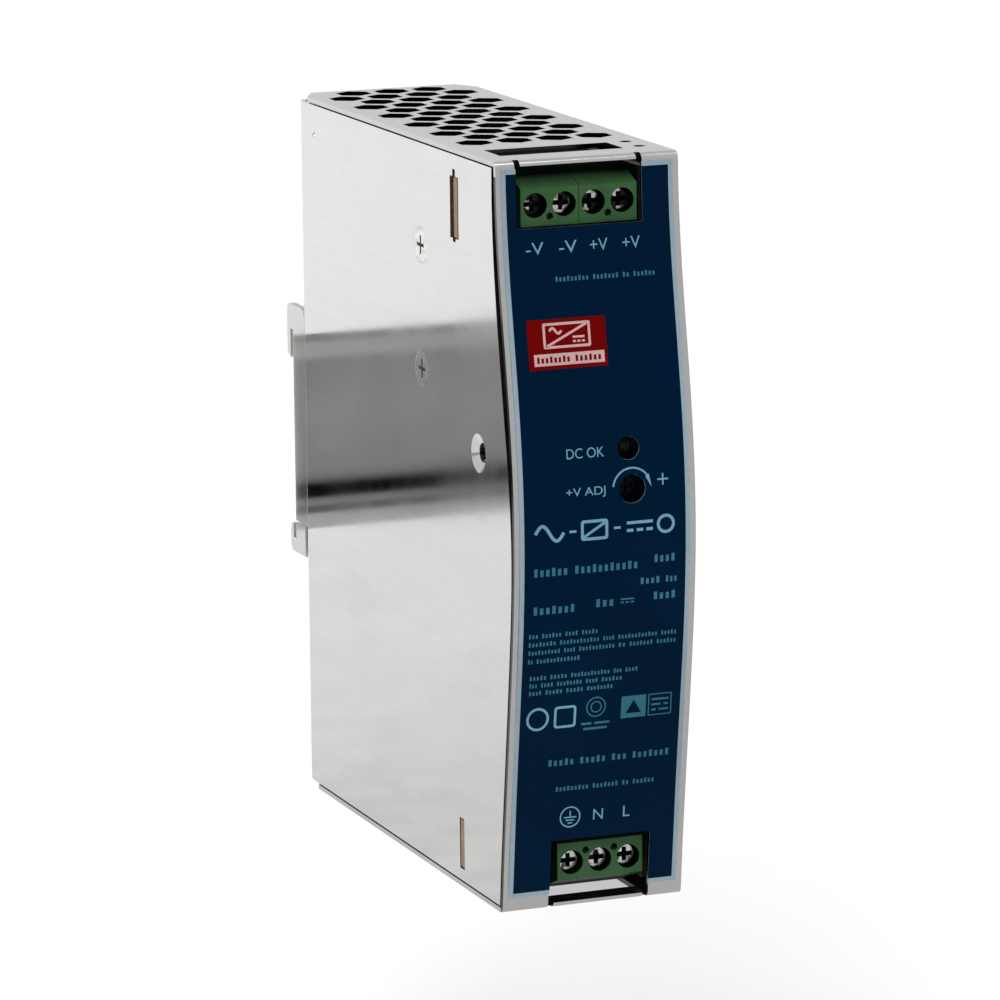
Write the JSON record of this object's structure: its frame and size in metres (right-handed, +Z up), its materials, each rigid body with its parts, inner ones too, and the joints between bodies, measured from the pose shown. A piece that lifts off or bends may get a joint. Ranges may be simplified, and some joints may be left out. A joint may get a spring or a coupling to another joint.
{
  "type": "din rail power supply",
  "caption": "Slim DIN rail power supply: bulging steel front with label, screw terminals top and bottom, vented panels, spring latch at the rear.",
  "frame": {"origin": "centre line of the 35 mm mounting rail, in the plane where the rail lips rest against the clip, mid-width of the case", "axes": "+Z up, from the input terminals to the output terminals; +Y towards the rail and the wall behind it, so the printed front faces -Y; +X to the right of a person facing the front"},
  "size_m": [0.032, 0.1114, 0.1252],
  "materials": {
    "bare_aluminium": "extruded, plain",
    "black_plastic": "moulded",
    "blue_resin": "dipped resin",
    "board_laminate": "brown laminate with solder mask",
    "cage_steel": "zinc plated",
    "capacitor_sleeve": "shrink sleeve",
    "case_steel": "zinc-plated sheet, satin",
    "clip_steel": "zinc-plated sheet, satin",
    "copper_wire": "enamelled",
    "ferrite": "ground ferrite",
    "fuse_ceramic": "glazed",
    "green_plastic": "moulded, fine matt",
    "label_film": "printed polyester film, semi-gloss",
    "lamp_lens": "tinted lens",
    "nickel_steel": "nickel plated",
    "pale_film": "milky film",
    "spring_steel": "bright spring wire",
    "tinned_copper": "tinned",
    "yellow_resin": "moulded case",
    "yellow_tape": "polyester tape"
  },
  "bodies": {
    "supply": {"board_screws": "nickel_steel", "board_standoffs": "nickel_steel", "body_wrap": "case_steel", "bridge_rectifier": "black_plastic", "bulk_capacitor": "capacitor_sleeve", "choke_core": "ferrite", "choke_winding": "copper_wire", "clip_rivets": "nickel_steel", "control_chip": "black_plastic", "cover_screws": "nickel_steel", "front_label": "label_film", "front_shell": "case_steel", "heat_spreader": "bare_aluminium", "inductor_core": "ferrite", "inductor_winding": "copper_wire", "input_fuse": "fuse_ceramic", "input_terminal_board": "board_laminate", "input_terminal_housing": "green_plastic", "inrush_thermistor": "black_plastic", "insulation_sheet": "pale_film", "lamp_spacer": "black_plastic", "latch_guides": "nickel_steel", "latch_spring": "spring_steel", "main_board": "board_laminate", "mosfet_heatsink": "bare_aluminium", "optocoupler": "black_plastic", "output_capacitors": "capacitor_sleeve", "output_rectifiers": "black_plastic", "output_terminal_board": "board_laminate", "output_terminal_housing": "green_plastic", "power_mosfet": "black_plastic", "rail_bracket": "clip_steel", "rectifier_nuts": "nickel_steel", "side_screws": "nickel_steel", "status_lamp": "lamp_lens", "terminal_pins": "tinned_copper", "thermal_pad": "pale_film", "transformer_bobbin": "black_plastic", "transformer_core": "ferrite", "transformer_winding": "yellow_tape", "trimmer_body": "blue_resin", "varistor": "blue_resin", "x_capacitors": "yellow_resin", "y_capacitors": "blue_resin"},
    "latch": {"rail_latch": "clip_steel"},
    "adjuster": {"trimmer_rotor": "black_plastic"},
    "output_screw_1": {"output_screw_1": "nickel_steel"},
    "output_cage_1": {"output_cage_1": "cage_steel"},
    "output_screw_2": {"output_screw_2": "nickel_steel"},
    "output_cage_2": {"output_cage_2": "cage_steel"},
    "output_screw_3": {"output_screw_3": "nickel_steel"},
    "output_cage_3": {"output_cage_3": "cage_steel"},
    "output_screw_4": {"output_screw_4": "nickel_steel"},
    "output_cage_4": {"output_cage_4": "cage_steel"},
    "input_screw_1": {"input_screw_1": "nickel_steel"},
    "input_cage_1": {"input_cage_1": "cage_steel"},
    "input_screw_2": {"input_screw_2": "nickel_steel"},
    "input_cage_2": {"input_cage_2": "cage_steel"},
    "input_screw_3": {"input_screw_3": "nickel_steel"},
    "input_cage_3": {"input_cage_3": "cage_steel"}
  },
  "joints": [
    {"name": "latch_slide", "type": "slide", "parent": "supply", "child": "latch", "axis": [0, 0, -1], "range_m": [0, 0.0035], "stiffness_N_per_m": 800, "springref_m": -0.004, "deforming": ["latch_spring"]},
    {"name": "adjuster_turn", "type": "hinge", "parent": "supply", "child": "adjuster", "pos_m": [0.00475, -0.1042, 0.0097], "axis": [0, 1, 0], "range_deg": [-130, 130]},
    {"name": "output_screw_1_turn", "type": "hinge", "parent": "supply", "child": "output_screw_1", "pos_m": [-0.00898, -0.0982, 0.0562], "axis": [0, 1, 0], "range_deg": [0, 1800.1]},
    {"name": "output_cage_1_rise", "type": "slide", "parent": "supply", "child": "output_cage_1", "axis": [0, -1, 0], "range_m": [0, 0.0025]},
    {"name": "output_screw_2_turn", "type": "hinge", "parent": "supply", "child": "output_screw_2", "pos_m": [-0.0039, -0.0982, 0.0562], "axis": [0, 1, 0], "range_deg": [0, 1800.1]},
    {"name": "output_cage_2_rise", "type": "slide", "parent": "supply", "child": "output_cage_2", "axis": [0, -1, 0], "range_m": [0, 0.0025]},
    {"name": "output_screw_3_turn", "type": "hinge", "parent": "supply", "child": "output_screw_3", "pos_m": [0.00118, -0.0982, 0.0562], "axis": [0, 1, 0], "range_deg": [0, 1800.1]},
    {"name": "output_cage_3_rise", "type": "slide", "parent": "supply", "child": "output_cage_3", "axis": [0, -1, 0], "range_m": [0, 0.0025]},
    {"name": "output_screw_4_turn", "type": "hinge", "parent": "supply", "child": "output_screw_4", "pos_m": [0.00626, -0.0982, 0.0562], "axis": [0, 1, 0], "range_deg": [0, 1800.1]},
    {"name": "output_cage_4_rise", "type": "slide", "parent": "supply", "child": "output_cage_4", "axis": [0, -1, 0], "range_m": [0, 0.0025]},
    {"name": "input_screw_1_turn", "type": "hinge", "parent": "supply", "child": "input_screw_1", "pos_m": [-0.00345, -0.0982, -0.0542], "axis": [0, 1, 0], "range_deg": [0, 1800.1]},
    {"name": "input_cage_1_rise", "type": "slide", "parent": "supply", "child": "input_cage_1", "axis": [0, -1, 0], "range_m": [0, 0.0025]},
    {"name": "input_screw_2_turn", "type": "hinge", "parent": "supply", "child": "input_screw_2", "pos_m": [0.00163, -0.0982, -0.0542], "axis": [0, 1, 0], "range_deg": [0, 1800.1]},
    {"name": "input_cage_2_rise", "type": "slide", "parent": "supply", "child": "input_cage_2", "axis": [0, -1, 0], "range_m": [0, 0.0025]},
    {"name": "input_screw_3_turn", "type": "hinge", "parent": "supply", "child": "input_screw_3", "pos_m": [0.00671, -0.0982, -0.0542], "axis": [0, 1, 0], "range_deg": [0, 1800.1]},
    {"name": "input_cage_3_rise", "type": "slide", "parent": "supply", "child": "input_cage_3", "axis": [0, -1, 0], "range_m": [0, 0.0025]}
  ],
  "couplings": [
    {"joint": "output_screw_1_turn", "follows": "output_cage_1_rise", "rad_per_m": 12566},
    {"joint": "output_screw_2_turn", "follows": "output_cage_2_rise", "rad_per_m": 12566},
    {"joint": "output_screw_3_turn", "follows": "output_cage_3_rise", "rad_per_m": 12566},
    {"joint": "output_screw_4_turn", "follows": "output_cage_4_rise", "rad_per_m": 12566},
    {"joint": "input_screw_1_turn", "follows": "input_cage_1_rise", "rad_per_m": 12566},
    {"joint": "input_screw_2_turn", "follows": "input_cage_2_rise", "rad_per_m": 12566},
    {"joint": "input_screw_3_turn", "follows": "input_cage_3_rise", "rad_per_m": 12566}
  ]
}
